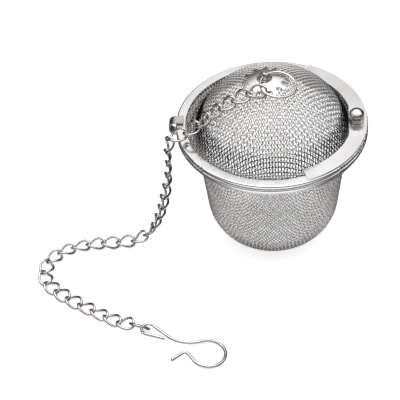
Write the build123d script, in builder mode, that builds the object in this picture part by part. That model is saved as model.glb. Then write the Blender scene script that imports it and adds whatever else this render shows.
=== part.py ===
from build123d import *
import os
from math import acos, asin, atan, cos, degrees, radians, sin

# Tea infuser of stainless steel, in millimetres: a woven basket, a domed woven lid that swivels
# sideways about a standing rivet, a clip that catches the lid, and a chain with a hook.
# The origin is where the basket's axis meets the table. +Z is up, the rivet is at +X and the
# clip at -X. The chain runs over the lid, hangs beside the basket and lies on the table.

os.makedirs("parts", exist_ok=True)

# Driving dimensions
rim_radius = 27.5              # outside of both rims
rim_bore = 24.8                # inside of both rims
basket_rim_level = 38.5        # underside of the basket's rim
basket_rim_height = 1.4
lid_gap = 0.25                 # free height between the two rims
lid_rim_height = 1.25
edge_round = 0.45
crimp_thickness = 0.6          # ring that traps the basket's mesh
crimp_bore = 23.3
plate_thickness = 0.6          # crescent plates at the rivet
mesh_thickness = 0.45
mesh_flange_radius = 25.6      # edge of the mesh, trapped in the rims
foot_radius = 5.6              # flat part of the basket's floor
foot_corner_radius = 13.6
basket_taper = 6.6             # degrees the wall leans outwards
mouth_bend_radius = 0.9
dome_radius = 23.4             # outside of the lid's dome, part of a sphere
dome_top = 56.5
dome_foot_bend = 0.8

rivet_distance = 24.1          # rivet's axis from the basket's axis
shank_radius = 0.95
swivel_clearance = 0.05        # radial, between shank and lid plate
shank_relief = 0.4             # radial, between shank and the rings it passes
rivet_head_radius = 2.1
rivet_head_height = 1.6
rivet_head_edge = 0.3          # upright edge of the head, below its crown
rivet_neck_height = 1.2
rivet_tail_radius = 1.5
rivet_tail_height = 0.7
washer_thickness = 1.0
plate_outer_radius = 27.2
plate_inner_radius = 22.8
plate_half_angle = 67.0        # degrees either side of the rivet
plate_tab_edge = 21.95         # straight inner edge of the lid's plate
basket_plate_radius = 26.6

clip_width = 3.1
clip_strip = 0.5
clip_bend_radius = 1.9
clip_back = 29.4               # middle of the clip's back from the axis
clip_reach = 25.3              # ends of the clip's lips from the axis
clip_clearance = 0.25          # above the lid's rim

crown_x, crown_y = -1.75, -0.25
crown_radius = 6.6
crown_petals = 12
crown_notch_radius = 1.0       # round inner end of the notch between two petals
crown_notch_reach = 5.75       # middle of that round end from the crown's axis
crown_notch_turn = -7.5        # degrees, first notch from the jump ring's heading
crown_corner = 0.22            # rounding of the petals' tips
crown_bulge_radius = 14.0
crown_thickness = 0.4
crown_hole_radius = 2.2
crown_lift = 0.08              # between the crown's edge and the mesh
eye_wire_radius = 0.35
eye_leg_spacing = 2.3
eye_rise = 2.75                # top of the eye's wire centre above the mesh
eye_foot_length = 1.5
crown_washer_radius = 3.4

jump_ring_radius = 5.0         # to the middle of the wire
jump_ring_wire_radius = 0.38
jump_ring_rise = 1.9           # wire centre in the eye above the mesh
jump_ring_heading = -37.5      # degrees, from the eye to the ring's middle
jump_ring_tilt = 8.0           # degrees, the ring's far side is lower
chain_start_angle = 213.0      # degrees round the ring, where the first link hangs

link_wire_radius = 0.375
link_length = 6.25
link_width = 4.6
link_clearance = 0.2           # play between two links, along the chain
link_twist = 40.0              # degrees, from a link's middle to either end
link_gap = 0.12                # between the two ends of a link's wire
link_roll = 9.0                # degrees, how far the lie of the links varies
link_roll_step = 1.1           # radians, from one link's lie to the next one's
link_count = 32

hook_ring_radius = 2.75
hook_ring_wire_radius = 0.4
hook_ring_heading = -20.0      # degrees, from the last link to the hook
hook_ring_lean = 50.0          # degrees from lying flat
hook_wire_radius = 0.45
hook_eye_radius = 1.95
hook_eye_level = 2.1           # height of the eye's wire, where the ring holds it
hook_leg_heading = 166.0       # degrees, along the eye's open leg
hook_leg_length = 5.4
hook_bow_radius = 4.85
table_clearance = 0.01

# Levels that follow from the driving dimensions
basket_rim_top = basket_rim_level + basket_rim_height
lid_rim_level = basket_rim_top + lid_gap
lid_rim_top = lid_rim_level + lid_rim_height
lid_flange_level = lid_rim_level + 0.4
plate_top = lid_rim_top + plate_thickness
basket_plate_top = basket_rim_level - crimp_thickness
basket_plate_bottom = basket_plate_top - plate_thickness
dome_centre = dome_top - dome_radius
rivet_place = (rivet_distance, 0)
rivet_axis = Axis((rivet_distance, 0, 0), (0, 0, 1))


def crescent(outer, inner):
    """Flat crescent round the basket's axis, centred on the rivet."""
    reach = 3 * outer
    half = radians(plate_half_angle)
    with BuildSketch() as outline:
        Circle(outer)
        Circle(inner, mode=Mode.SUBTRACT)
        with BuildLine():
            Polyline(
                (0, 0),
                (reach * cos(half), -reach * sin(half)),
                (reach, 0),
                (reach * cos(half), reach * sin(half)),
                close=True,
            )
        make_face(mode=Mode.INTERSECT)
    return outline.sketch


# Basket: woven shell with a flat foot, a round corner, a leaning wall and a flat trapped edge
with BuildPart() as basket_mesh:
    with BuildSketch(Plane.XZ):
        with BuildLine():
            floor = Line((0, mesh_thickness / 2), (foot_radius, mesh_thickness / 2))
            corner = JernArc(floor @ 1, (1, 0), foot_corner_radius, 90 - basket_taper)
            flange_level = basket_rim_level + mesh_thickness / 2
            bend_rise = mouth_bend_radius * (1 - sin(radians(basket_taper)))
            wall_rise = flange_level - bend_rise - (corner @ 1).Y
            wall = Line(corner @ 1, corner @ 1 + (corner % 1) * (wall_rise / (corner % 1).Y))
            bend = JernArc(wall @ 1, wall % 1, mouth_bend_radius, basket_taper - 90)
            Line(bend @ 1, (mesh_flange_radius, (bend @ 1).Y))
        trace(line_width=mesh_thickness)
    revolve(axis=Axis.Z)
    with BuildSketch(Plane.XY.offset(basket_rim_level)):
        with Locations(rivet_place):
            Circle(shank_radius + shank_relief)
    extrude(amount=2 * mesh_thickness, mode=Mode.SUBTRACT)
basket_mesh.part.label = "basket_mesh"
export_step(basket_mesh.part, "parts/basket_mesh.step")

# Basket's rim: a solid ring with rounded outer edges, stepped underneath for the mesh
with BuildPart() as basket_rim:
    with BuildSketch(Plane.XZ):
        with Locations((rim_bore, basket_rim_level)):
            Rectangle(rim_radius - rim_bore, basket_rim_height, align=Align.MIN)
            Rectangle(
                mesh_flange_radius + 0.1 - rim_bore,
                mesh_thickness,
                align=Align.MIN,
                mode=Mode.SUBTRACT,
            )
    revolve(axis=Axis.Z)
    outer_edges = basket_rim.edges().filter_by(GeomType.CIRCLE).group_by(SortBy.RADIUS)[-1]
    fillet(outer_edges, edge_round)
    with BuildSketch(Plane.XY.offset(basket_rim_level)):
        with Locations(rivet_place):
            Circle(shank_radius + shank_relief)
    extrude(amount=basket_rim_height, mode=Mode.SUBTRACT)
basket_rim.part.label = "basket_rim"
export_step(basket_rim.part, "parts/basket_rim.step")

# Ring below the basket's rim that traps the mesh
with BuildPart() as basket_crimp_ring:
    with BuildSketch(Plane.XY.offset(basket_plate_top)):
        Circle(rim_radius - 0.4)
        Circle(crimp_bore, mode=Mode.SUBTRACT)
        with Locations(rivet_place):
            Circle(shank_radius + shank_relief, mode=Mode.SUBTRACT)
    extrude(amount=crimp_thickness)
    lower_edge = basket_crimp_ring.edges().group_by(Axis.Z)[0].sort_by(SortBy.RADIUS)[-1]
    fillet(lower_edge, crimp_thickness / 2)
basket_crimp_ring.part.label = "basket_crimp_ring"
export_step(basket_crimp_ring.part, "parts/basket_crimp_ring.step")

# Crescent plate under the basket's rim, which holds the rivet
with BuildPart() as basket_pivot_plate:
    with BuildSketch(Plane.XY.offset(basket_plate_bottom)):
        add(crescent(basket_plate_radius, plate_inner_radius - 0.05))
        with Locations(rivet_place):
            Circle(shank_radius, mode=Mode.SUBTRACT)
    extrude(amount=plate_thickness)
basket_pivot_plate.part.label = "basket_pivot_plate"
export_step(basket_pivot_plate.part, "parts/basket_pivot_plate.step")

# C-shaped clip on the basket's rim: its lower lip is fixed under the rim, its upper lip stands
# over the lid's rim
with BuildPart() as latch_clip:
    upper_lip = lid_rim_top + clip_clearance + clip_strip / 2
    lower_lip = basket_plate_top - clip_strip / 2
    with BuildSketch(Plane.XZ):
        with BuildLine():
            FilletPolyline(
                (-clip_reach, upper_lip),
                (-clip_back, upper_lip),
                (-clip_back, lower_lip),
                (-clip_reach, lower_lip),
                radius=clip_bend_radius,
            )
        trace(line_width=clip_strip)
    extrude(amount=clip_width / 2, both=True)
latch_clip.part.label = "latch_clip"
export_step(latch_clip.part, "parts/latch_clip.step")

# Standing rivet: tail, shank and domed head
washer_level = plate_top + 0.08
washer_top = washer_level + washer_thickness
head_level = washer_top + rivet_neck_height
with BuildPart() as pivot_rivet:
    with BuildSketch(Plane.XZ):
        with BuildLine():
            head_top = head_level + rivet_head_height
            crown_rise = rivet_head_height - rivet_head_edge
            head_crown_radius = (rivet_head_radius**2 + crown_rise**2) / (2 * crown_rise)
            head_sweep = degrees(asin(rivet_head_radius / head_crown_radius))
            head_crown = JernArc((rivet_distance, head_top), (1, 0), head_crown_radius, -head_sweep)
            tail_bottom = basket_plate_bottom - rivet_tail_height
            Polyline(
                head_crown @ 1,
                (rivet_distance + rivet_head_radius, head_level),
                (rivet_distance + shank_radius, head_level),
                (rivet_distance + shank_radius, basket_plate_bottom),
                (rivet_distance + rivet_tail_radius, basket_plate_bottom),
                (rivet_distance + rivet_tail_radius, tail_bottom),
                (rivet_distance, tail_bottom),
                (rivet_distance, head_top),
            )
        make_face()
    revolve(axis=rivet_axis)
pivot_rivet.part.label = "pivot_rivet"
export_step(pivot_rivet.part, "parts/pivot_rivet.step")

# Washer on the rivet, above the lid's plate
with BuildPart() as pivot_washer:
    with BuildSketch(Plane.XY.offset(washer_level)):
        with Locations(rivet_place):
            Circle(rivet_head_radius + 0.05)
            Circle(shank_radius, mode=Mode.SUBTRACT)
    extrude(amount=washer_thickness)
    chamfer(pivot_washer.edges().group_by(Axis.Z)[-1].sort_by(SortBy.RADIUS)[-1], 0.12)
pivot_washer.part.label = "pivot_washer"
export_step(pivot_washer.part, "parts/pivot_washer.step")

# Crown's frame: its Z stands square to the dome at the crown's place
crown_height = dome_centre + (dome_radius**2 - crown_x**2 - crown_y**2) ** 0.5
crown_up = Vector(crown_x, crown_y, crown_height - dome_centre).normalized()
heading = radians(jump_ring_heading)
ring_heading = Vector(cos(heading), sin(heading), 0)
crown_side = (ring_heading - crown_up * ring_heading.dot(crown_up)).normalized()
crown_plane = Plane(origin=(crown_x, crown_y, crown_height), x_dir=crown_side, z_dir=crown_up)
crown_section = Plane(
    origin=crown_plane.origin, x_dir=crown_plane.x_dir, z_dir=-crown_plane.y_dir
)
crown_axis = Axis(crown_plane.origin, crown_plane.z_dir)
eye_leg_places = [(-eye_leg_spacing / 2, 0), (eye_leg_spacing / 2, 0)]

# Lid: woven dome with a flat trapped edge, and two holes for the legs of the eye
with BuildPart() as lid_mesh:
    with BuildSketch(Plane.XZ):
        with BuildLine():
            middle_radius = dome_radius - mesh_thickness / 2
            middle_top = dome_top - mesh_thickness / 2
            lid_flange_middle = lid_flange_level + mesh_thickness / 2
            drop_share = (middle_top - lid_flange_middle) / (middle_radius + dome_foot_bend)
            dome_sweep = degrees(acos(1 - drop_share))
            dome = JernArc((0, middle_top), (1, 0), middle_radius, -dome_sweep)
            foot = JernArc(dome @ 1, dome % 1, dome_foot_bend, dome_sweep)
            Line(foot @ 1, (mesh_flange_radius, (foot @ 1).Y))
        trace(line_width=mesh_thickness)
    revolve(axis=Axis.Z)
    with BuildSketch(Plane.XY.offset(lid_rim_level)):
        with Locations(rivet_place):
            Circle(shank_radius + shank_relief)
    extrude(amount=lid_rim_height, mode=Mode.SUBTRACT)
    with BuildSketch(crown_plane):
        with Locations(*eye_leg_places):
            Circle(eye_wire_radius + 0.1)
    extrude(amount=3 * mesh_thickness, both=True, mode=Mode.SUBTRACT)
lid_mesh.part.label = "lid_mesh"
export_step(lid_mesh.part, "parts/lid_mesh.step")

# Lid's rim, stepped underneath for the mesh and its crimp ring
with BuildPart() as lid_rim:
    with BuildSketch(Plane.XZ):
        with Locations((rim_bore, lid_rim_level)):
            Rectangle(rim_radius - rim_bore, lid_rim_height, align=Align.MIN)
            Rectangle(
                mesh_flange_radius + 0.1 - rim_bore,
                lid_flange_level + mesh_thickness - lid_rim_level,
                align=Align.MIN,
                mode=Mode.SUBTRACT,
            )
    revolve(axis=Axis.Z)
    outer_edges = lid_rim.edges().filter_by(GeomType.CIRCLE).group_by(SortBy.RADIUS)[-1]
    fillet(outer_edges, edge_round)
    with BuildSketch(Plane.XY.offset(lid_rim_level)):
        with Locations(rivet_place):
            Circle(shank_radius + shank_relief)
    extrude(amount=lid_rim_height, mode=Mode.SUBTRACT)
lid_rim.part.label = "lid_rim"
export_step(lid_rim.part, "parts/lid_rim.step")

# Ring inside the lid's rim that traps the mesh from below
with BuildPart() as lid_crimp_ring:
    with BuildSketch(Plane.XY.offset(lid_rim_level)):
        Circle(mesh_flange_radius + 0.05)
        Circle(plate_inner_radius + 0.6, mode=Mode.SUBTRACT)
        with Locations(rivet_place):
            Circle(shank_radius + shank_relief, mode=Mode.SUBTRACT)
    extrude(amount=lid_flange_level - lid_rim_level)
lid_crimp_ring.part.label = "lid_crimp_ring"
export_step(lid_crimp_ring.part, "parts/lid_crimp_ring.step")

# Crescent plate on the lid's rim, with a straight-edged tab that turns about the rivet
with BuildPart() as lid_pivot_plate:
    tab_half_width = (plate_inner_radius**2 - plate_tab_edge**2) ** 0.5
    with BuildSketch(Plane.XY.offset(lid_rim_top)):
        add(crescent(plate_outer_radius, plate_inner_radius))
        with Locations((plate_tab_edge, 0)):
            Rectangle(3, 2 * tab_half_width, align=(Align.MIN, Align.CENTER))
        with Locations(rivet_place):
            Circle(shank_radius + swivel_clearance, mode=Mode.SUBTRACT)
    extrude(amount=plate_thickness)
lid_pivot_plate.part.label = "lid_pivot_plate"
export_step(lid_pivot_plate.part, "parts/lid_pivot_plate.step")

# Stamped crown: a domed disc with notches round its edge, which leave petals, and a middle hole
edge_drop = dome_radius - (dome_radius**2 - crown_radius**2) ** 0.5
bulge = crown_bulge_radius - (crown_bulge_radius**2 - crown_radius**2) ** 0.5
crown_inside_top = crown_lift - edge_drop + bulge
with BuildPart() as crown_cap:
    with BuildSketch(crown_section):
        with BuildLine():
            middle_height = crown_inside_top + crown_thickness / 2
            middle_bulge = crown_bulge_radius + crown_thickness / 2
            JernArc((0, middle_height), (1, 0), middle_bulge, -40)
        trace(line_width=crown_thickness)
    revolve(axis=crown_axis)
    with BuildSketch(crown_plane.offset(-3)):
        Circle(crown_radius)
        with PolarLocations(crown_notch_reach, crown_petals, start_angle=crown_notch_turn):
            Circle(crown_notch_radius, mode=Mode.SUBTRACT)
            Rectangle(
                crown_radius,
                2 * crown_notch_radius,
                align=(Align.MIN, Align.CENTER),
                mode=Mode.SUBTRACT,
            )
        tips = [v for v in vertices() if (v.X**2 + v.Y**2) ** 0.5 > crown_radius - 0.01]
        fillet(tips, crown_corner)
        Circle(crown_hole_radius, mode=Mode.SUBTRACT)
    extrude(amount=6, mode=Mode.INTERSECT)
crown_cap.part.label = "crown_cap"
export_step(crown_cap.part, "parts/crown_cap.step")

# Washer inside the dome, which the feet of the eye are bent against
crown_washer_level = -mesh_thickness - 0.95
with BuildPart() as crown_washer:
    with BuildSketch(crown_plane.offset(crown_washer_level)):
        Circle(crown_washer_radius)
        with Locations(*eye_leg_places):
            Circle(eye_wire_radius + 0.1, mode=Mode.SUBTRACT)
    extrude(amount=0.4)
crown_washer.part.label = "crown_washer"
export_step(crown_washer.part, "parts/crown_washer.step")

# Eye: a wire staple through crown, mesh and washer, its feet bent outwards
half_spacing = eye_leg_spacing / 2
foot_level = crown_washer_level - eye_wire_radius - 0.02
foot_bend = 0.55
with BuildPart() as crown_eye:
    with BuildLine(crown_section) as staple_path:
        FilletPolyline(
            (-half_spacing - eye_foot_length, foot_level),
            (-half_spacing, foot_level),
            (-half_spacing, eye_rise - half_spacing),
            radius=foot_bend,
        )
        ThreePointArc(
            (-half_spacing, eye_rise - half_spacing),
            (0, eye_rise),
            (half_spacing, eye_rise - half_spacing),
        )
        FilletPolyline(
            (half_spacing, eye_rise - half_spacing),
            (half_spacing, foot_level),
            (half_spacing + eye_foot_length, foot_level),
            radius=foot_bend,
        )
    staple = staple_path.wires()[0]
    with BuildSketch(Plane(origin=staple @ 0, z_dir=staple % 0)):
        Circle(eye_wire_radius)
    sweep(path=staple)
crown_eye.part.label = "crown_eye"
export_step(crown_eye.part, "parts/crown_eye.step")

# Jump ring through the eye, lying over the crown
eye_point = crown_plane.origin + crown_plane.z_dir * jump_ring_rise
tilt = radians(jump_ring_tilt)
ring_down = (ring_heading * cos(tilt) - Vector(0, 0, sin(tilt))).normalized()
ring_up = (ring_heading * sin(tilt) + Vector(0, 0, cos(tilt))).normalized()
ring_plane = Plane(
    origin=eye_point + ring_down * jump_ring_radius, x_dir=ring_down, z_dir=ring_up
)


def torus_section(plane, ring_radius, wire_radius):
    """Wire section of a ring that lies in the plane, round the plane's origin."""
    section = Plane(origin=plane.origin, x_dir=plane.x_dir, z_dir=plane.y_dir)
    with BuildSketch(section) as wire:
        with Locations((ring_radius, 0)):
            Circle(wire_radius)
    return wire.sketch


with BuildPart() as jump_ring:
    add(torus_section(ring_plane, jump_ring_radius, jump_ring_wire_radius))
    revolve(axis=Axis(ring_plane.origin, ring_plane.z_dir))
jump_ring.part.label = "jump_ring"
export_step(jump_ring.part, "parts/jump_ring.step")

# One link, lying along X: an open oval of wire, twisted so that its neighbours pass square through
# its ends
link_half_length = link_length / 2 - link_wire_radius
link_half_width = link_width / 2 - link_wire_radius


def link_point(turn, roll=0.0):
    """Middle of a link's wire at an angle round it, the link rolled about its length."""
    across = link_half_width * sin(turn)
    lie = radians(link_twist) * cos(turn) + radians(roll)
    return Vector(link_half_length * cos(turn), across * cos(lie), across * sin(lie))


link_steps = 24
half_gap = link_gap / 2 / link_half_length
link_turns = [
    radians(90) + half_gap + step * (radians(360) - 2 * half_gap) / link_steps
    for step in range(link_steps + 1)
]
with BuildPart() as chain_link:
    with BuildLine() as link_path:
        Spline(*[link_point(turn) for turn in link_turns])
    link_wire = link_path.wires()[0]
    with BuildSketch(Plane(origin=link_wire @ 0, z_dir=link_wire % 0)):
        Circle(link_wire_radius)
    sweep(path=link_wire)
link_rise = max(link_point(turn, roll).Z for turn in link_turns for roll in (-link_roll, link_roll))
link_half_height = link_rise + link_wire_radius

# Chain: its route's points are the middle of the chain. It leaves the jump ring, follows the dome,
# crosses the rims, hangs beside the basket and curves round on the table.
pitch = link_length - 4 * link_wire_radius - link_clearance
table_level = link_half_height + table_clearance
hook_ring_rise = hook_ring_radius * sin(radians(hook_ring_lean))
hook_ring_level = hook_ring_rise + hook_ring_wire_radius + table_clearance
start_turn = radians(chain_start_angle - jump_ring_heading)
ring_point = (
    ring_plane.origin
    + ring_plane.x_dir * (jump_ring_radius * cos(start_turn))
    + ring_plane.y_dir * (jump_ring_radius * sin(start_turn))
)
start_heading = Vector(-0.95, -0.3, 0).normalized()
start_overlap = (jump_ring_wire_radius + link_wire_radius + link_clearance) / 2
chain_start = ring_point - start_heading * start_overlap
route_points = [
    chain_start,
    (-5.2, -6.6, 57.6),
    (-9.3, -7.3, 56.0),
    (-13.6, -7.8, 53.3),
    (-17.5, -7.8, 49.9),
    (-20.9, -7.7, 46.2),
    (-24.3, -8.0, 44.1),
    (-27.8, -8.9, 43.3),
    (-29.3, -9.4, 40.2),
    (-29.5, -9.5, 34.5),
    (-30.2, -9.4, 26.0),
    (-31.6, -9.2, 19.0),
    (-33.2, -8.8, 13.0),
    (-35.6, -8.3, 7.0),
    (-38.6, -8.2, 3.0),
    (-42.6, -8.6, table_level),
    (-49.0, -9.4, table_level),
    (-56.0, -10.4, table_level),
    (-61.6, -12.4, table_level),
    (-65.6, -15.8, table_level),
    (-67.3, -20.8, table_level),
    (-66.6, -25.6, table_level),
    (-63.2, -29.2, table_level),
    (-57.6, -33.4, table_level),
    (-50.6, -37.6, table_level),
    (-45.0, -40.7, table_level),
    (-41.6, -42.2, table_level + 0.2),
    (-38.6, -43.4, hook_ring_level),
    (-35.0, -44.8, hook_ring_level),
]
with BuildLine() as chain_route:
    Spline(*route_points)
route = chain_route.edges()[0]


def next_place(place):
    """Share of the route at which a point lies one pitch from the given one, in a straight line."""
    start = route @ place
    near, far = place, min(1.0, place + 3 * pitch / route.length)
    for _ in range(40):
        middle = (near + far) / 2
        if (route @ middle - start).length < pitch:
            near = middle
        else:
            far = middle
    return (near + far) / 2


places = [0.0]
for _ in range(link_count):
    places.append(next_place(places[-1]))
joint_points = [route @ place for place in places]


def away_from_support(point):
    """Direction away from what the chain lies on at a point: dome, rims and basket, or table."""
    if point.Z > lid_rim_top:
        return Vector(point.X, point.Y, point.Z - dome_centre)
    if point.Z > 6:
        return Vector(point.X, point.Y, 0)
    return Vector(0, 0, 1)


def rolled_plane(start, end, roll):
    """Plane of a link between two points, its X along the chain, rolled about it."""
    along = (end - start).normalized()
    up = away_from_support((start + end) / 2)
    up = (up - along * up.dot(along)).normalized()
    side = up.cross(along)
    turn = radians(roll)
    return Plane(origin=(start + end) / 2, x_dir=along, z_dir=up * cos(turn) + side * sin(turn))


def lie_of_link(number):
    """Roll of a link about its length. It varies slowly along the chain."""
    return link_roll * sin(link_roll_step * number)


for number in range(1, link_count + 1):
    plane = rolled_plane(joint_points[number - 1], joint_points[number], lie_of_link(number))
    placed_link = plane.location * chain_link.part
    placed_link.label = f"chain_link_{number:02d}"
    export_step(placed_link, f"parts/chain_link_{number:02d}.step")

# Round ring after the last link, leaning like one more link
ring_direction = Vector(cos(radians(hook_ring_heading)), sin(radians(hook_ring_heading)), 0)
half_overlap = (link_length - 2 * link_wire_radius - pitch) / 2
ring_far_point = joint_points[-1] + ring_direction * 2 * (hook_ring_radius - half_overlap)
hook_ring_plane = rolled_plane(joint_points[-1], ring_far_point, hook_ring_lean)
with BuildPart() as hook_ring:
    add(torus_section(hook_ring_plane, hook_ring_radius, hook_ring_wire_radius))
    revolve(axis=Axis(hook_ring_plane.origin, hook_ring_plane.z_dir))
hook_ring.part.label = "hook_ring"
export_step(hook_ring.part, "parts/hook_ring.step")

# Bent-wire hook, round the middle of its eye: a long open eye, an easy bend, a round bend and a
# short tail
leg_heading = Vector(cos(radians(hook_leg_heading)), sin(radians(hook_leg_heading)))
leg_side = Vector(leg_heading.Y, -leg_heading.X)
with BuildPart() as hook:
    with BuildLine() as hook_path:
        leg_end = leg_side * -hook_eye_radius
        leg = Line(leg_end - leg_heading * hook_leg_length, leg_end)
        eye_bend = JernArc(leg @ 1, leg % 1, hook_eye_radius, -206)
        slope = Line(eye_bend @ 1, eye_bend @ 1 + (eye_bend % 1) * 5.6)
        sag = JernArc(slope @ 1, slope % 1, 9.0, 60)
        rise = Line(sag @ 1, sag @ 1 + (sag % 1) * 1.5)
        bow = JernArc(rise @ 1, rise % 1, hook_bow_radius, -255)
        throat = Line(bow @ 1, bow @ 1 + (bow % 1) * 2.4)
        lip = JernArc(throat @ 1, throat % 1, 1.4, 100)
        Line(lip @ 1, lip @ 1 + (lip % 1) * 3.7)
    with BuildSketch(Plane(origin=leg @ 0, z_dir=leg % 0)):
        Circle(hook_wire_radius)
    sweep(path=hook_path.wires()[0])

# The hook's eye is held up by the ring, and its bow lies on the table
hook_far_side = hook.part.bounding_box().max.X - hook_wire_radius
lean = atan((hook_eye_level - hook_wire_radius - table_clearance) / hook_far_side)
ring_end = hook_ring_plane.origin + ring_direction * hook_ring_radius
hook_plane = Plane(
    origin=(ring_end.X, ring_end.Y, hook_eye_level),
    x_dir=(cos(lean), 0, -sin(lean)),
    z_dir=(sin(lean), 0, cos(lean)),
)
placed_hook = hook_plane.location * hook.part
placed_hook.label = "hook"
export_step(placed_hook, "parts/hook.step")
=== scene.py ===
"""Looks for the tea infuser: woven wire, finishes of the steel, camera, light and floor.

Lengths are in millimetres until a mesh is made, and in metres from then on. The frame's +Z is up,
the rivet is at +X and the clip at -X.
"""

import math

import bpy
import numpy as np
from mathutils import Matrix, Vector


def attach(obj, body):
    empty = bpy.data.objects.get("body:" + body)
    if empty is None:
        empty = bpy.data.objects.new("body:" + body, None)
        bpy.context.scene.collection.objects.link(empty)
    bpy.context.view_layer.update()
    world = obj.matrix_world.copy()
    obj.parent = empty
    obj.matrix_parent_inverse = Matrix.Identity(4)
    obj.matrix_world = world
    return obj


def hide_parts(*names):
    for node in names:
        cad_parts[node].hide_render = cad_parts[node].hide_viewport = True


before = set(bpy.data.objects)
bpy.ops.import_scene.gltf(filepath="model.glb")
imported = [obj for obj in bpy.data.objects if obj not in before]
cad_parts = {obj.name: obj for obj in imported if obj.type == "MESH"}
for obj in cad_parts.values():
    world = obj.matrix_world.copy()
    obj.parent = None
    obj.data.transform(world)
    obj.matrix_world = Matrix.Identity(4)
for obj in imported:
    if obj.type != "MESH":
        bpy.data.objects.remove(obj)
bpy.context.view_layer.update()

MM = 0.001

# The part's dimensions that the woven pieces follow
MESH_THICKNESS = 0.45
FLANGE_RADIUS = 25.45
FOOT_RADIUS = 5.6
CORNER_RADIUS = 13.6
TAPER = math.radians(6.6)
MOUTH_BEND = 0.9
BASKET_FLANGE = 38.725
DOME_RADIUS = 23.4 - MESH_THICKNESS / 2
DOME_TOP = 56.5 - MESH_THICKNESS / 2
DOME_FLANGE = 40.775
DOME_FOOT_BEND = 0.8
RIVET_X = 24.1
RIVET_HOLE = 1.45

DOME_WIRE = 0.135                # radius of the woven wire
BASKET_WIRE = 0.105
WAVE = 0.11                      # how far a woven wire stands either side of the cloth
DOME_PITCH = 0.88
BASKET_PITCH = 0.86
DOME_CLOTH_TURN = math.radians(4)
BASKET_CLOTH_TURN = math.radians(47)
WIRE_SIDES = 5

# Painted shade on the dome's foot: heights between which its wires' colour is darkened, and how it
# fades out
FOOT_SHADE_BAND = (40.9, 45.0)
FOOT_SHADE_FACTOR = 0.04
FADE_BELOW, FADE_ABOVE = 0.2, 1.2
BAND_SCALE = 60.0                # height that the band's ramp spans


# ---------------------------------------------------------------- materials


def new_material(name):
    """Material with a node tree, and its shader."""
    material = bpy.data.materials.new(name)
    material.use_nodes = True
    return material, material.node_tree.nodes, material.node_tree.links


def steel(name, tint, roughness, grain=900.0, grain_depth=0.12, turned=0.0, spread=0.07):
    """Stainless steel: cloudy roughness, fine grain in its height, and a slightly uneven tint.
    turned is the strength of fine lines round the upright axis, as on a turned or spun ring."""
    material, nodes, links = new_material(name)
    shader = nodes["Principled BSDF"]
    shader.inputs["Metallic"].default_value = 1.0
    place = nodes.new("ShaderNodeTexCoord").outputs["Object"]

    cloud = nodes.new("ShaderNodeTexNoise")
    cloud.inputs["Scale"].default_value = 140.0
    cloud.inputs["Detail"].default_value = 4.0
    links.new(place, cloud.inputs["Vector"])
    rough = nodes.new("ShaderNodeMapRange")
    rough.inputs["From Min"].default_value = 0.3
    rough.inputs["From Max"].default_value = 0.7
    rough.inputs["To Min"].default_value = max(0.04, roughness - spread)
    rough.inputs["To Max"].default_value = roughness + spread
    links.new(cloud.outputs["Fac"], rough.inputs["Value"])
    links.new(rough.outputs["Result"], shader.inputs["Roughness"])

    stain = nodes.new("ShaderNodeTexNoise")
    stain.inputs["Scale"].default_value = 55.0
    stain.inputs["Detail"].default_value = 3.0
    links.new(place, stain.inputs["Vector"])
    tone = nodes.new("ShaderNodeValToRGB")
    low, high = tone.color_ramp.elements
    low.position, high.position = 0.32, 0.68
    low.color = (tint[0] * 0.86, tint[1] * 0.84, tint[2] * 0.83, 1)
    high.color = (min(1, tint[0] * 1.05), min(1, tint[1] * 1.05), min(1, tint[2] * 1.06), 1)
    links.new(stain.outputs["Fac"], tone.inputs["Fac"])
    links.new(tone.outputs["Color"], shader.inputs["Base Color"])

    fine = nodes.new("ShaderNodeTexNoise")
    fine.inputs["Scale"].default_value = grain
    fine.inputs["Detail"].default_value = 5.0
    links.new(place, fine.inputs["Vector"])
    height = fine.outputs["Fac"]
    if turned:
        flat = nodes.new("ShaderNodeVectorMath")
        flat.operation = "MULTIPLY"
        flat.inputs[1].default_value = (1, 1, 0)
        links.new(place, flat.inputs[0])
        reach = nodes.new("ShaderNodeVectorMath")
        reach.operation = "LENGTH"
        links.new(flat.outputs["Vector"], reach.inputs[0])
        rings = nodes.new("ShaderNodeTexNoise")
        rings.noise_dimensions = "1D"
        rings.inputs["Scale"].default_value = 4200.0
        rings.inputs["Detail"].default_value = 3.0
        links.new(reach.outputs["Value"], rings.inputs["W"])
        both = nodes.new("ShaderNodeMath")
        both.operation = "MULTIPLY_ADD"
        both.inputs[1].default_value = turned
        links.new(rings.outputs["Fac"], both.inputs[0])
        links.new(height, both.inputs[2])
        height = both.outputs["Value"]
    bump = nodes.new("ShaderNodeBump")
    bump.inputs["Strength"].default_value = grain_depth
    bump.inputs["Distance"].default_value = 0.00006
    links.new(height, bump.inputs["Height"])
    links.new(bump.outputs["Normal"], shader.inputs["Normal"])
    return material


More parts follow.
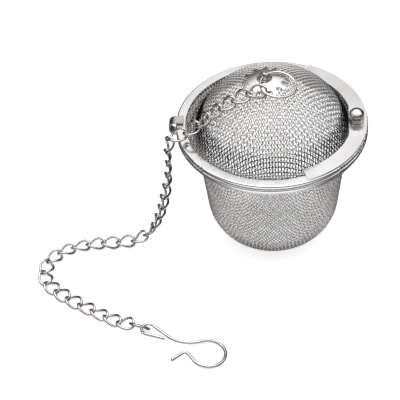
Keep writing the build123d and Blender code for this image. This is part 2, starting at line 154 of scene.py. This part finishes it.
def painted_shade_band(material, low, high, share):
    """Painted shade: multiply the material's tint by share between two heights of the frame."""
    nodes, links = material.node_tree.nodes, material.node_tree.links
    shader = nodes["Principled BSDF"]
    tint = shader.inputs["Base Color"].links[0].from_socket
    parts = nodes.new("ShaderNodeSeparateXYZ")
    links.new(nodes.new("ShaderNodeTexCoord").outputs["Object"], parts.inputs["Vector"])
    band = nodes.new("ShaderNodeValToRGB")
    ramp = band.color_ramp
    ramp.elements[0].position, ramp.elements[0].color = 0.0, (1, 1, 1, 1)
    ramp.elements[1].position, ramp.elements[1].color = 1.0, (1, 1, 1, 1)
    levels = ((low - FADE_BELOW, 1.0), (low, share), (high, share), (high + FADE_ABOVE, 1.0))
    for level, value in levels:
        ramp.elements.new(level / BAND_SCALE).color = (value, value, value, 1)
    scaled = nodes.new("ShaderNodeMath")
    scaled.operation = "DIVIDE"
    scaled.inputs[1].default_value = BAND_SCALE * MM
    links.new(parts.outputs["Z"], scaled.inputs[0])
    links.new(scaled.outputs["Value"], band.inputs["Fac"])
    both = nodes.new("ShaderNodeMix")
    both.data_type = "RGBA"
    both.blend_type = "MULTIPLY"
    both.inputs["Factor"].default_value = 1.0
    links.new(tint, both.inputs["A"])
    links.new(band.outputs["Color"], both.inputs["B"])
    links.new(both.outputs["Result"], shader.inputs["Base Color"])


dome_steel = steel("dome_steel", (0.96, 0.95, 0.94), 0.15, grain=2400, grain_depth=0.2)
# painted shade: the dome's wires are darkened in colour at its foot
painted_shade_band(dome_steel, *FOOT_SHADE_BAND, FOOT_SHADE_FACTOR)
basket_steel = steel("basket_steel", (0.92, 0.90, 0.89), 0.16, grain=2400, grain_depth=0.2)
rim_steel = steel("rim_steel", (0.93, 0.93, 0.93), 0.18, grain=1300, grain_depth=0.05, turned=0.8)
plate_steel = steel("plate_steel", (0.88, 0.88, 0.88), 0.22, grain=1800, grain_depth=0.08)
stamped_steel = steel("stamped_steel", (0.97, 0.96, 0.95), 0.34, grain=700, grain_depth=0.12)
rivet_steel = steel("rivet_steel", (0.80, 0.79, 0.79), 0.13, grain=900, grain_depth=0.1)
clip_steel = steel("clip_steel", (0.66, 0.62, 0.61), 0.22, grain=1200, grain_depth=0.2)
washer_steel = steel("washer_steel", (0.42, 0.40, 0.39), 0.2, grain=1200, grain_depth=0.1)
chain_steel = steel("chain_steel", (0.70, 0.67, 0.66), 0.13, grain=1100, grain_depth=0.12)
ring_steel = steel("ring_steel", (0.78, 0.76, 0.75), 0.12, grain=1100, grain_depth=0.1)


def paint(piece, material):
    piece.data.materials.clear()
    piece.data.materials.append(material)


CAD_FINISH = {
    "basket_rim": rim_steel,
    "basket_crimp_ring": rim_steel,
    "basket_pivot_plate": plate_steel,
    "lid_rim": rim_steel,
    "lid_crimp_ring": rim_steel,
    "lid_pivot_plate": plate_steel,
    "latch_clip": clip_steel,
    "pivot_rivet": rivet_steel,
    "pivot_washer": washer_steel,
    "crown_cap": stamped_steel,
    "crown_washer": rim_steel,
    "crown_eye": chain_steel,
    "jump_ring": ring_steel,
    "hook_ring": chain_steel,
    "hook": ring_steel,
}
for node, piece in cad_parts.items():
    if node in CAD_FINISH:
        paint(piece, CAD_FINISH[node])
    elif node.startswith("chain_link_"):
        paint(piece, chain_steel)


# ---------------------------------------------------------------- wire pieces


def tube_arrays(points, ups, radius, sides):
    """Vertices and faces of a round tube along points. ups are directions square to it."""
    along = np.gradient(points, axis=0)
    along /= np.linalg.norm(along, axis=1)[:, None]
    side = np.cross(along, ups)
    side /= np.linalg.norm(side, axis=1)[:, None]
    up = np.cross(side, along)
    turn = np.arange(sides) * (2 * math.pi / sides)
    upward = np.cos(turn)[None, :, None] * up[:, None, :]
    sideways = np.sin(turn)[None, :, None] * side[:, None, :]
    ring = upward + sideways
    vertices = (points[:, None, :] + radius * ring).reshape(-1, 3)
    count = len(points)
    i = np.arange(count - 1)[:, None]
    j = np.arange(sides)[None, :]
    here, beyond = i * sides, (i + 1) * sides
    after = (j + 1) % sides
    quads = np.stack([here + j, here + after, beyond + after, beyond + j], -1).reshape(-1, 4)
    faces = quads.tolist()
    faces.append(list(range(sides))[::-1])
    faces.append([(count - 1) * sides + k for k in range(sides)])
    return vertices, faces


def wire_piece(name, tubes, material):
    """One mesh made of many tubes, each (vertices, faces) in millimetres."""
    vertices, faces, start = [], [], 0
    for tube_vertices, tube_faces in tubes:
        vertices.append(tube_vertices)
        faces.extend([[k + start for k in face] for face in tube_faces])
        start += len(tube_vertices)
    mesh = bpy.data.meshes.new(name)
    mesh.from_pydata((np.concatenate(vertices) * MM).tolist(), [], faces)
    mesh.polygons.foreach_set("use_smooth", [True] * len(mesh.polygons))
    mesh.materials.append(material)
    piece = bpy.data.objects.new(name, mesh)
    bpy.context.scene.collection.objects.link(piece)
    return piece


# ---------------------------------------------------------------- woven cloth


def profile(heading_start, runs, height):
    """Middle line of a shell from its axis outwards: runs of (length, turn), finely stepped.
    Gives the distance along it, its radius, height and heading."""
    step = 0.05
    heading, radius = heading_start, 0.0
    rows = [(0.0, radius, height, heading)]
    gone = 0.0
    for length, turn in runs:
        pieces = max(1, round(length / step))
        for _ in range(pieces):
            heading += turn / pieces / 2
            radius += length / pieces * math.cos(heading)
            height += length / pieces * math.sin(heading)
            heading += turn / pieces / 2
            gone += length / pieces
            rows.append((gone, radius, height, heading))
    return np.array(rows)


def weave(name, rows, give, pitch, wire, outward, cloth_turn, body, node, parts, material):
    """Plain-weave cloth pressed over a shell. A point of the flat cloth keeps its direction from the
    middle, and give says how much cloth lies in a length of the shell. It is cut into pieces."""
    gone, radius, height, heading = rows.T
    cloth = np.concatenate([[0], np.cumsum((give[1:] + give[:-1]) / 2 * np.diff(gone))])
    edge = cloth[-1]
    count = int(edge / pitch)
    families = [[], []]
    for family in (0, 1):
        for number in range(-count, count + 1):
            across = number * pitch
            half = math.sqrt(edge * edge - across * across)
            steps = max(4, round(2 * half / (pitch / 3)))
            along = np.linspace(-half, half, steps)
            flat_reach = np.sqrt(across * across + along * along)
            direction = np.arctan2(along, across) + cloth_turn + family * math.pi / 2
            r = np.interp(flat_reach, cloth, radius)
            z = np.interp(flat_reach, cloth, height)
            slope = np.interp(flat_reach, cloth, heading)
            normal = np.stack(
                [
                    -np.sin(slope) * np.cos(direction),
                    -np.sin(slope) * np.sin(direction),
                    np.cos(slope),
                ],
                1,
            ) * outward
            sign = 1 if (number + family) % 2 == 0 else -1
            lift = WAVE * sign * np.cos(math.pi * along / pitch)
            points = np.stack([r * np.cos(direction), r * np.sin(direction), z], 1)
            points = points + normal * lift[:, None]
            clear = np.hypot(points[:, 0] - RIVET_X, points[:, 1]) > RIVET_HOLE
            breaks = np.flatnonzero(np.diff(clear.astype(int))) + 1
            for run in np.split(np.arange(steps), breaks):
                if clear[run[0]] and len(run) > 3:
                    tube = tube_arrays(points[run], normal[run], wire, WIRE_SIDES)
                    families[family].append(tube)
    for family, label in ((0, "warp"), (1, "weft")):
        share = math.ceil(len(families[family]) / parts)
        for part in range(parts):
            tubes = families[family][part * share : (part + 1) * share]
            piece = wire_piece(f"{name}_{label}_{part + 1}", tubes, material)
            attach(piece, body)
            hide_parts(node)


corner_turn = math.pi / 2 - TAPER
corner_top = MESH_THICKNESS / 2 + CORNER_RADIUS * (1 - math.cos(corner_turn))
wall_height = BASKET_FLANGE - MOUTH_BEND * (1 - math.sin(TAPER)) - corner_top
wall_length = wall_height / math.sin(corner_turn)
basket_rows = profile(
    0.0,
    [
        (FOOT_RADIUS, 0.0),
        (CORNER_RADIUS * corner_turn, corner_turn),
        (wall_length, 0.0),
        (MOUTH_BEND * corner_turn, -corner_turn),
        (2.5, 0.0),
    ],
    MESH_THICKNESS / 2,
)
dome_sweep = math.acos(1 - (DOME_TOP - DOME_FLANGE) / (DOME_RADIUS + DOME_FOOT_BEND))
dome_rows = profile(
    0.0,
    [
        (DOME_RADIUS * dome_sweep, -dome_sweep),
        (DOME_FOOT_BEND * dome_sweep, dome_sweep),
        (FLANGE_RADIUS - (DOME_RADIUS + DOME_FOOT_BEND) * math.sin(dome_sweep), 0.0),
    ],
    DOME_TOP,
)


# The cloth gives lengthways on the basket's wall, most near the mouth, and on the dome's slope
basket_give = np.interp(basket_rows[:, 0], [0, 12, 26, 100], [1.0, 1.0, 0.66, 0.56])
dome_give = np.cos(dome_rows[:, 3]) ** 0.6

weave(
    "lid_cloth",
    dome_rows,
    dome_give,
    DOME_PITCH,
    DOME_WIRE,
    1.0,
    DOME_CLOTH_TURN,
    "lid",
    "lid_mesh",
    1,
    dome_steel,
)
weave(
    "basket_cloth",
    basket_rows,
    basket_give,
    BASKET_PITCH,
    BASKET_WIRE,
    -1.0,
    BASKET_CLOTH_TURN,
    "basket",
    "basket_mesh",
    2,
    basket_steel,
)


# ---------------------------------------------------------------- floor, light and camera

mesh = bpy.data.meshes.new("floor")
reach = 3.0
corners = [(-reach, -reach, 0), (reach, -reach, 0), (reach, reach, 0), (-reach, reach, 0)]
mesh.from_pydata(corners, [], [(0, 1, 2, 3)])
floor = bpy.data.objects.new("floor", mesh)
bpy.context.scene.collection.objects.link(floor)
floor_material, nodes, links = new_material("floor_white")
shader = nodes["Principled BSDF"]
shader.inputs["Base Color"].default_value = (0.93, 0.93, 0.93, 1)
shader.inputs["Roughness"].default_value = 0.9
shader.inputs["Specular IOR Level"].default_value = 0.0
shader.inputs["Emission Color"].default_value = (1, 1, 1, 1)
shader.inputs["Emission Strength"].default_value = 0.55
mesh.materials.append(floor_material)
floor.visible_glossy = False

world = bpy.data.worlds.new("studio")
bpy.context.scene.world = world
world.use_nodes = True
nodes, links = world.node_tree.nodes, world.node_tree.links
background = nodes["Background"]
direction = nodes.new("ShaderNodeSeparateXYZ")
links.new(nodes.new("ShaderNodeTexCoord").outputs["Generated"], direction.inputs["Vector"])
above = nodes.new("ShaderNodeValToRGB")
ramp = above.color_ramp
ramp.elements[0].position, ramp.elements[0].color = 0.0, (0.03, 0.03, 0.03, 1)
ramp.elements[1].position, ramp.elements[1].color = 1.0, (1.25, 1.25, 1.25, 1)
for position, level in ((0.30, 0.05), (0.45, 0.15), (0.58, 0.55), (0.68, 0.98)):
    ramp.elements.new(position).color = (level, level * 0.99, level * 0.98, 1)
links.new(direction.outputs["Z"], above.inputs["Fac"])


def eased(source, low, high, from_low, from_high):
    """Smooth step of a direction's part from one level to another."""
    node = nodes.new("ShaderNodeMapRange")
    node.interpolation_type = "SMOOTHSTEP"
    node.inputs["From Min"].default_value = low
    node.inputs["From Max"].default_value = high
    node.inputs["To Min"].default_value = from_low
    node.inputs["To Max"].default_value = from_high
    links.new(source, node.inputs["Value"])
    return node.outputs["Result"]


def mixed(kind, factor, a, b):
    node = nodes.new("ShaderNodeMix")
    node.data_type = "RGBA"
    node.blend_type = kind
    if isinstance(factor, float):
        node.inputs["Factor"].default_value = factor
    else:
        links.new(factor, node.inputs["Factor"])
    links.new(a, node.inputs["A"])
    links.new(b, node.inputs["B"])
    return node.outputs["Result"]


front_shade = eased(direction.outputs["Y"], -0.75, -0.15, 0.6, 1.0)
upper = mixed("MULTIPLY", 1.0, above.outputs["Color"], front_shade)
lower = eased(direction.outputs["Y"], -0.7, -0.2, 0.95, 0.12)
horizon = eased(direction.outputs["Z"], -0.5, -0.2, 0.0, 1.0)
links.new(mixed("MIX", horizon, lower, upper), background.inputs["Color"])
background.inputs["Strength"].default_value = 1.15
seen = nodes.new("ShaderNodeBackground")
seen.inputs["Color"].default_value = (1, 1, 1, 1)
light_path = nodes.new("ShaderNodeLightPath")
choose = nodes.new("ShaderNodeMixShader")
links.new(light_path.outputs["Is Camera Ray"], choose.inputs["Fac"])
links.new(background.outputs["Background"], choose.inputs[1])
links.new(seen.outputs["Background"], choose.inputs[2])
links.new(choose.outputs["Shader"], nodes["World Output"].inputs["Surface"])


def softbox(name, place, target, size, power):
    """Square area light that looks at target."""
    data = bpy.data.lights.new(name, "AREA")
    data.size = size
    data.energy = power
    lamp = bpy.data.objects.new(name, data)
    lamp.location = place
    lamp.rotation_euler = (Vector(target) - Vector(place)).to_track_quat("-Z", "Y").to_euler()
    bpy.context.scene.collection.objects.link(lamp)


middle = (-0.01, -0.01, 0.02)
softbox("softbox_top", (-0.05, 0.12, 0.75), middle, 0.5, 0.9)
softbox("softbox_left", (-0.6, -0.15, 0.35), middle, 0.3, 0.25)
softbox("softbox_right", (0.6, 0.0, 0.4), middle, 0.3, 0.2)

camera_place = Vector((11.61, -348.92, 342.79)) * MM
camera_right = Vector((0.99757, 0.05384, -0.04428)).normalized()
camera_back = Vector((0.06952, -0.72204, 0.68835)).normalized()
camera_up = camera_back.cross(camera_right).normalized()
camera_right = camera_up.cross(camera_back)
lens = bpy.data.cameras.new("camera")
lens.sensor_width = 36.0
lens.lens = 144.76
lens.clip_start = 0.01
lens.clip_end = 20.0
camera = bpy.data.objects.new("camera", lens)
turn = Matrix((camera_right, camera_up, camera_back)).transposed()
camera.matrix_world = Matrix.Translation(camera_place) @ turn.to_4x4()
bpy.context.scene.collection.objects.link(camera)
bpy.context.scene.camera = camera
bpy.context.scene.view_settings.view_transform = "Standard"
